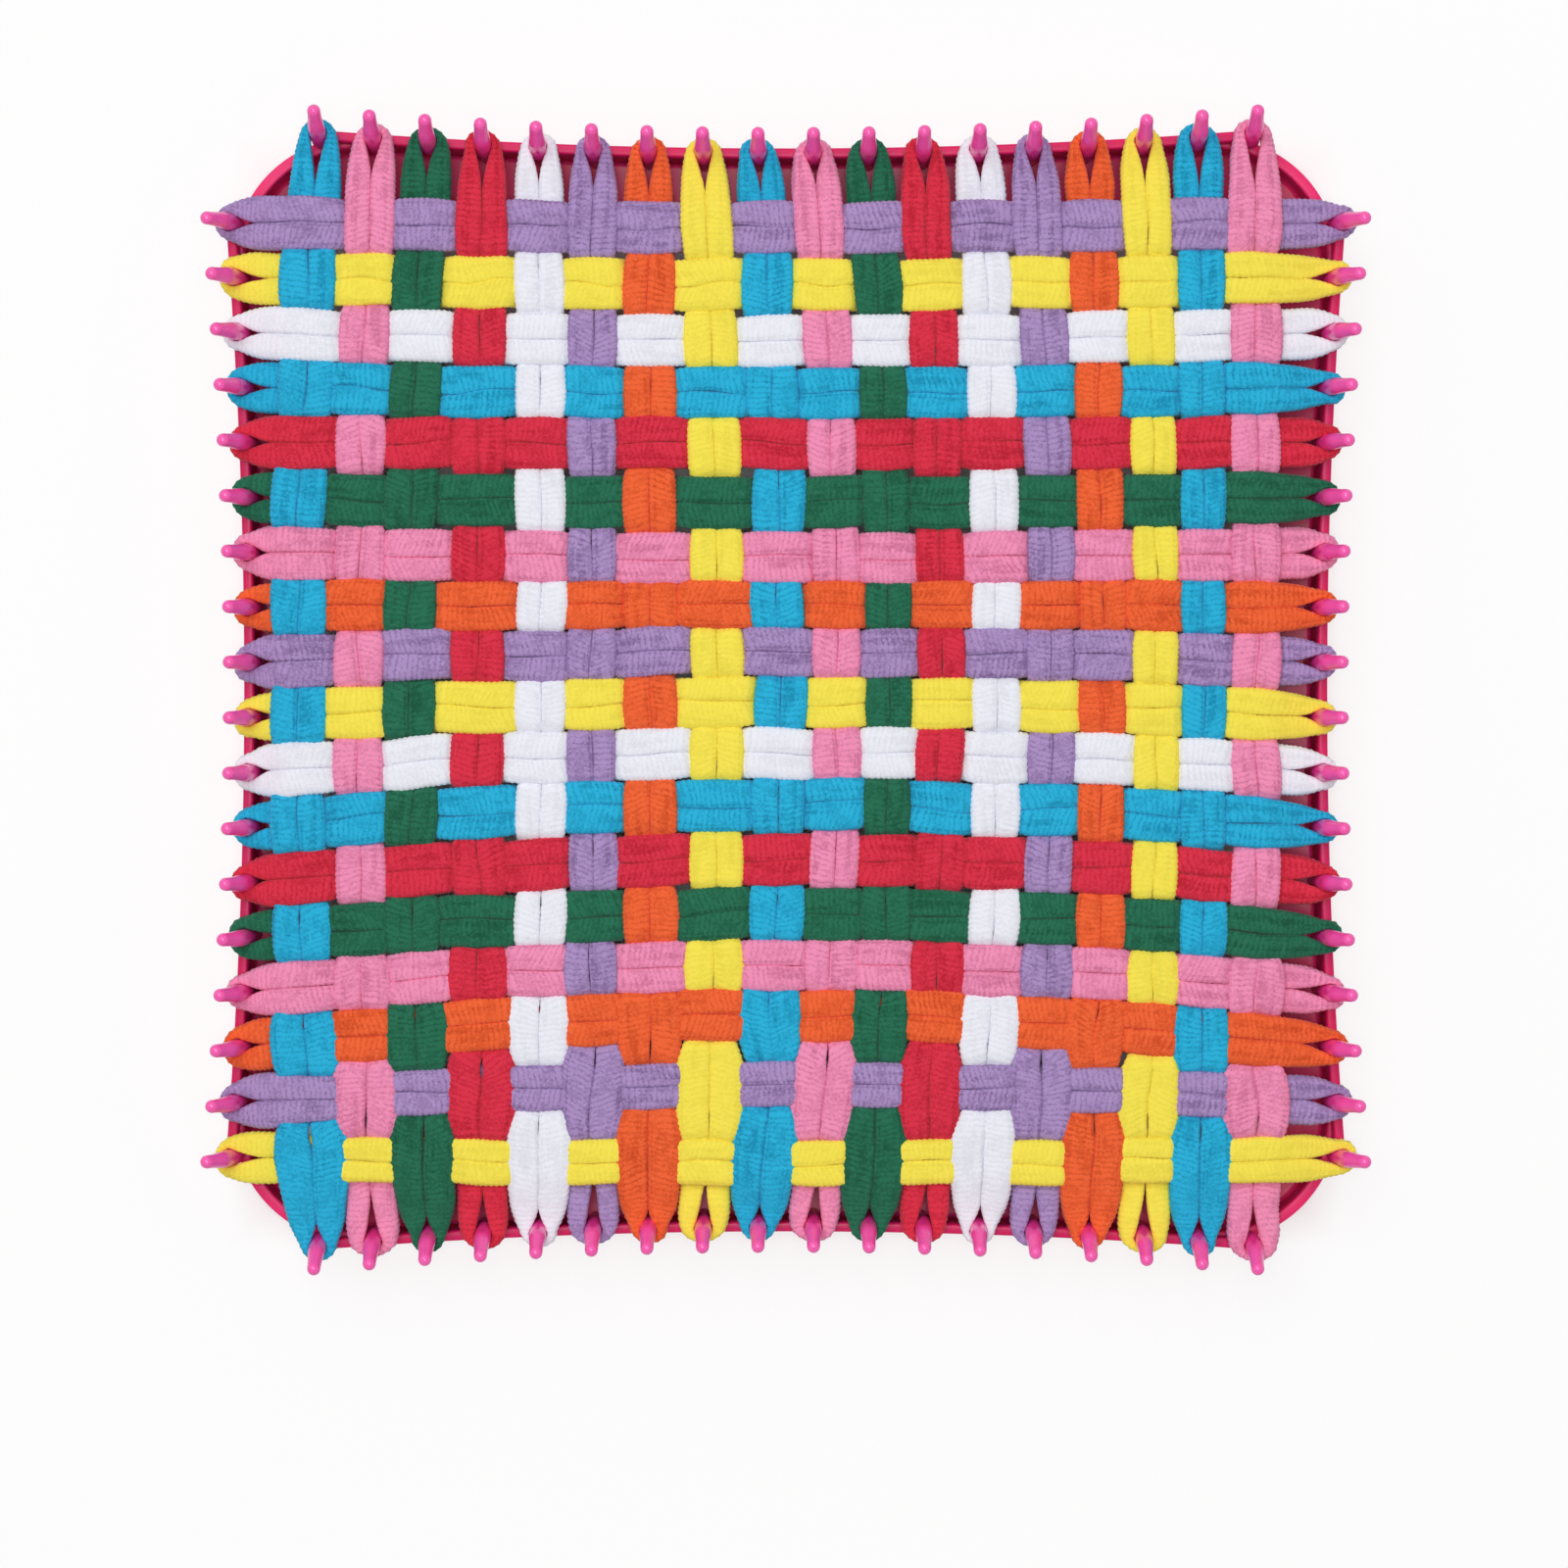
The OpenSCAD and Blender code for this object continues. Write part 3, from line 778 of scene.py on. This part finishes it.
def pink_plastic(name, low, high, start, end, specular, roughness, depth, share):
    material, tree, shader = new_material(name)
    place = add(tree, "TexCoord").node.outputs["Object"]
    clouds = add(tree, "TexNoise", place, None, CLOUD_SCALE, 3.0, 0.5)
    grain = add(tree, "TexNoise", place, None, GRAIN_SCALE, 3.0, 0.6)
    # Painted light: this body colour follows the height, not a change in the plastic.
    body = painted_light_by_height(tree, place, low, high, start, end)
    patchy = add(tree, "MapRange", clouds, 0.3, 0.7, 0.0, CLOUDINESS)
    tree.links.new(mix_colours(tree, patchy, body, WALL_PINK), shader.inputs["Base Color"])
    gloss = add(tree, "MapRange", clouds, 0.3, 0.7, roughness - SMOOTHER, roughness + DULLER)
    tree.links.new(gloss, shader.inputs["Roughness"])
    shader.inputs["IOR"].default_value = PLASTIC_IOR
    shader.inputs["Specular IOR Level"].default_value = specular
    shader.inputs["Subsurface Weight"].default_value = share
    shader.inputs["Subsurface Radius"].default_value = RED_GOES_DEEPEST
    shader.inputs["Subsurface Scale"].default_value = depth
    shader.inputs["Coat Weight"].default_value = specular * COAT_SHARE
    shader.inputs["Coat Roughness"].default_value = COAT_ROUGHNESS
    bump = add(tree, "Bump").node
    bump.inputs["Strength"].default_value = GRAIN_STRENGTH
    bump.inputs["Distance"].default_value = GRAIN_DEPTH
    tree.links.new(grain, bump.inputs["Height"])
    tree.links.new(bump.outputs[0], shader.inputs["Normal"])
    return material


wall_plastic = pink_plastic("pink_plastic_walls", **WALL_FINISH_AND_PAINTED_LIGHT)
peg_plastic = pink_plastic("pink_plastic_pegs", **PEG_FINISH_AND_PAINTED_LIGHT)
print("plastics:", wall_plastic.name, "and", peg_plastic.name)

# %% [markdown]
# The frame's ring is a band that goes all the way round: at the corners an upright rim with a flat
# flange inside it, and along the sides only the flange, because the side wall takes the rim's place.
# Its outline is four shallow arcs joined by four corner arcs that just touch them. One cross-section is
# swept along that outline, with rounded edges and a small fillet in the inner corner, as a mould
# would have. A rim hidden inside the side walls would stop the light in them, so it ends at the
# corners.

# %% The ring of the frame
SEAM_R = BOW_R + RIM_INSET + CORNER_R
CORNER_C = (BOW_Y - math.sqrt(2 * SEAM_R**2 - BOW_Y**2)) / 2
SEAM_ANGLE = math.asin(CORNER_C / SEAM_R)
RIM_H = WALL_H - RIM_DROP
FILLET = 0.8 * MM
BEVEL = 0.2 * MM
TUCK = 0.15 * MM
SIDE_STATIONS, CORNER_STATIONS, SHARED_STATIONS = 60, 40, 2
BEVEL_STEPS, ROUND_STEPS = 3, 5


def arc(x, y, r, start, end, steps):
    angle = np.radians(np.linspace(start, end, steps + 1))
    return np.stack([x + r * np.cos(angle), y + r * np.sin(angle)], 1)


def ring_section(x0, x1, top, e):
    """Cross-section as inward distance and height: a rim from x0 to x1, up to top, and the flange."""
    return np.concatenate([
        arc(x0 + BEVEL / 4, BEVEL / 4, BEVEL / 4, 270, 180, BEVEL_STEPS),
        arc(x0 + e, top - e, e, 180, 90, ROUND_STEPS),
        arc(x1 - e, top - e, e, 90, 0, ROUND_STEPS),
        arc(x1 + FILLET, FLANGE_T + FILLET, FILLET, 180, 270, ROUND_STEPS),
        arc(FLANGE_W - EDGE_R, FLANGE_T - EDGE_R, EDGE_R, 90, 0, ROUND_STEPS),
        arc(FLANGE_W - BEVEL, BEVEL, BEVEL, 0, -90, BEVEL_STEPS),
    ])


def quarter_outline():
    """Stations of a side and the corner after it: place, way inward, and 1 at the corner."""
    side = np.linspace(-SEAM_ANGLE, SEAM_ANGLE, SIDE_STATIONS)
    side_at = np.stack([BOW_R * np.sin(side), BOW_Y - BOW_R * np.cos(side)], 1)
    side_in = np.stack([np.sin(side), -np.cos(side)], 1)
    turn = np.linspace(math.pi / 2 + SEAM_ANGLE, -SEAM_ANGLE, CORNER_STATIONS + 2)[1:-1]
    out = np.stack([np.cos(turn), np.sin(turn)], 1)
    corner_at = CORNER_C + (CORNER_R + RIM_INSET) * out
    at, inward = np.concatenate([side_at, corner_at]), np.concatenate([side_in, -out])
    corner = np.concatenate([np.zeros(SIDE_STATIONS), np.ones(CORNER_STATIONS)])
    corner[:SHARED_STATIONS] = corner[SIDE_STATIONS - SHARED_STATIONS:SIDE_STATIONS] = 1
    return at, inward, corner


def quarter_turned(points, quarter):
    c, s = round(math.cos(quarter * math.pi / 2)), round(math.sin(quarter * math.pi / 2))
    return np.stack([c * points[:, 0] + s * points[:, 1], -s * points[:, 0] + c * points[:, 1]], 1)


def grid_faces(rows, columns, close_rows, close_columns):
    last = rows if close_rows else rows - 1
    wide = columns if close_columns else columns - 1
    j, r = np.meshgrid(np.arange(last), np.arange(wide), indexing="ij")
    nj, nr = (j + 1) % rows, (r + 1) % columns
    corners = [j * columns + r, j * columns + nr, nj * columns + nr, nj * columns + r]
    return np.stack(corners, -1).reshape(-1, 4)


def frame_ring():
    at, inward, corner = quarter_outline()
    at = np.concatenate([quarter_turned(at, q) for q in range(4)])
    inward = np.concatenate([quarter_turned(inward, q) for q in range(4)])
    corner = np.tile(corner, 4)
    thin = ring_section(WALL_T - TUCK, WALL_T - TUCK / 2, FLANGE_T + FILLET, TUCK / 4)
    thick = ring_section(RIM_INSET, RIM_INSET + RIM_T, RIM_H, EDGE_R)
    profile = thin[None] * (1 - corner[:, None, None]) + thick[None] * corner[:, None, None]
    flat = at[:, None, :] + inward[:, None, :] * profile[:, :, :1]
    co = np.concatenate([flat, profile[:, :, 1:]], 2)
    return co.reshape(-1, 3), grid_faces(len(at), profile.shape[1], True, True)


ring_co, ring_faces = frame_ring()
print("frame ring:", len(ring_faces), "faces")

# %% [markdown]
# Each side has an upright wall that carries its pegs and stands higher than the ring. It is a bar
# with rounded top edges and rounded ends, made like the ring but closed at both ends. The ends are
# rounded by pulling in the last few sections.

# %% The side walls
END_STEPS = 5
WALL_STATIONS = 78
SHARPEST = 0.02 * MM


def wall_bar():
    reach = math.asin(WALL_HALF / BOW_R)
    stations = list(np.linspace(-reach, reach, WALL_STATIONS + 2)[1:-1])
    pulls = [0.0] * WALL_STATIONS
    for a in np.radians(np.linspace(0, 90, END_STEPS + 1)):
        stations.append(reach - EDGE_R / BOW_R * (1 - math.sin(a)))
        pulls.append(EDGE_R * (1 - math.cos(a)))
        stations.insert(0, -stations[-1])
        pulls.insert(0, pulls[-1])
    rows = []
    for s, pull in zip(stations, pulls):
        x0, x1, top = pull, WALL_T - pull, WALL_H - pull
        r = max(EDGE_R - pull, SHARPEST)
        shape = np.concatenate([
            [[x0 + BEVEL, 0], [x0, BEVEL]],
            arc(x0 + r, top - r, r, 180, 90, ROUND_STEPS),
            arc(x1 - r, top - r, r, 90, 0, ROUND_STEPS),
            [[x1, BEVEL], [x1 - BEVEL, 0]],
        ])
        inward = np.array([math.sin(s), -math.cos(s)])
        flat = np.array([BOW_R * math.sin(s), BOW_Y - BOW_R * math.cos(s)]) + shape[:, :1] * inward
        rows.append(np.concatenate([flat, shape[:, 1:]], 1))
    rows = np.array(rows)
    return rows, grid_faces(len(rows), rows.shape[1], False, True)


wall_rows, wall_faces = wall_bar()
print("side wall:", len(wall_faces), "faces, top at", round(wall_rows[:, :, 2].max() / MM, 2), "mm")

# %% [markdown]
# A peg is a stem with a slimmer tip that leans further out, so that a stretched loop can't jump off.
# Below it a root runs down the inner face of the wall. One tube does all of it: rings are stacked
# along a line that bends at the foot and at the shoulder, and above the shoulder their radius shrinks
# smoothly over the whole tip. The tip ends in a dome that is closed with one small face.

# %% The pegs
PEG_ROUND = 24
ROOT_FOOT = 1 * MM
SKIN = 0.05 * MM
NECK_L, NECK_BELOW = 2.6 * MM, 0.35
TAPER_FROM, TAPER_MORE = 0.8 * MM, 0.4 * MM


def taper(along_peg):
    return ease((along_peg - STEM_H + TAPER_FROM) / (TIP_L + TAPER_MORE))


def peg_outline():
    """Distance along the peg from its foot, radius, and share of the tip's own lean."""
    rows = [
        (-WALL_H + ROOT_FOOT, ROOT_R, 0),
        (-2.0 * MM, ROOT_R, 0),
        (-1.0 * MM, ROOT_R + 0.06 * MM, 0),
        (-0.2 * MM, PEG_R, 0),
        (0.6 * MM, PEG_R + 0.03 * MM, 0),
        (3 * MM, PEG_R, 0),
        (5 * MM, PEG_R, 0),
    ]
    for t in np.linspace(0, 1, 9):
        bent = (1 - math.cos(math.pi * t)) / 2
        along_tip = STEM_H + NECK_L * (t - NECK_BELOW)
        rows.append((along_tip, PEG_R + (TIP_R - PEG_R) * taper(along_tip), bent))
    for share in (0.6, 0.8):
        along_tip = STEM_H + share * TIP_L
        rows.append((along_tip, PEG_R + (TIP_R - PEG_R) * taper(along_tip), 1))
    for a in np.radians([0, 20, 38, 54, 68, 80, 87]):
        rows.append((STEM_H + TIP_L - SKIN + TIP_R * math.sin(a), TIP_R * math.cos(a), 1))
    return np.array(rows)


def peg_rows(tilt):
    outline = peg_outline()
    angle = np.arange(PEG_ROUND) / PEG_ROUND * 2 * math.pi
    centre, rings, before = np.array([0.0, -WALL_H + ROOT_FOOT]), [], outline[0][0]
    for l, r, share in outline:
        bend = 0.0 if l < -0.1 * MM else tilt + TIP_LEAN * share
        step = l - before
        way = 0.0 if l <= 0 else bend
        centre = centre + step * np.array([math.sin(way), math.cos(way)])
        before = l
        lean_in, lean_up = math.cos(bend), math.sin(bend)
        rings.append(np.stack([r * np.cos(angle), centre[0] + r * np.sin(angle) * lean_in,
                               WALL_H + centre[1] - r * np.sin(angle) * lean_up], 1))
    return np.array(rings)


def capped(rows, faces):
    """Closes both ends of a tube, each with one flat face, and returns its points and faces."""
    columns = rows.shape[1]
    co = rows.reshape(-1, 3)
    first = list(range(columns))
    last = list(range(len(co) - columns, len(co)))
    return co, [list(f) for f in faces] + [first[::-1], last]


print("peg top at", round(peg_rows(lean(0))[:, :, 2].max() / MM, 2), "mm")

# %% [markdown]
# The moulding is one piece of plastic, so its ring, walls and pegs are joined into one object. It
# stands for the CAD frame and moves with the loom, while the woven mat can be lifted off.

# %% Assemble the frame
WALLS, PEGS = 0, 1


def moulded_frame():
    points, faces, finishes = [ring_co], [list(f) for f in ring_faces], [WALLS] * len(ring_faces)
    count = len(ring_co)

    def put(co, new_faces, finish):
        nonlocal count
        points.append(co)
        faces.extend([[v + count for v in f] for f in new_faces])
        finishes.extend([finish] * len(new_faces))
        count += len(co)

    for q in range(4):
        bar, bar_faces = capped(wall_rows, wall_faces)
        put(np.concatenate([quarter_turned(bar[:, :2], q), bar[:, 2:]], 1), bar_faces, WALLS)
        for n in range(PEG_COUNT):
            s = along(n)
            rows = peg_rows(lean(s))
            peg, peg_faces = capped(rows, grid_faces(len(rows), PEG_ROUND, False, True))
            flat = peg[:, :2] + [s, foot_at(s)]
            put(np.concatenate([quarter_turned(flat, q), peg[:, 2:]], 1), peg_faces, PEGS)
    mesh = bpy.data.meshes.new("moulded_frame")
    mesh.from_pydata(np.concatenate(points).tolist(), [], faces)
    for material in (wall_plastic, peg_plastic):
        mesh.materials.append(material)
    mesh.polygons.foreach_set("material_index", finishes)
    mesh.update()
    mesh.shade_smooth()
    made = bpy.data.objects.new("moulded_frame", mesh)
    bpy.context.scene.collection.objects.link(made)
    return made


moulding = moulded_frame()
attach(moulding, "loom")
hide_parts("loom_frame")
print("moulded frame:", len(moulding.data.polygons), "faces")
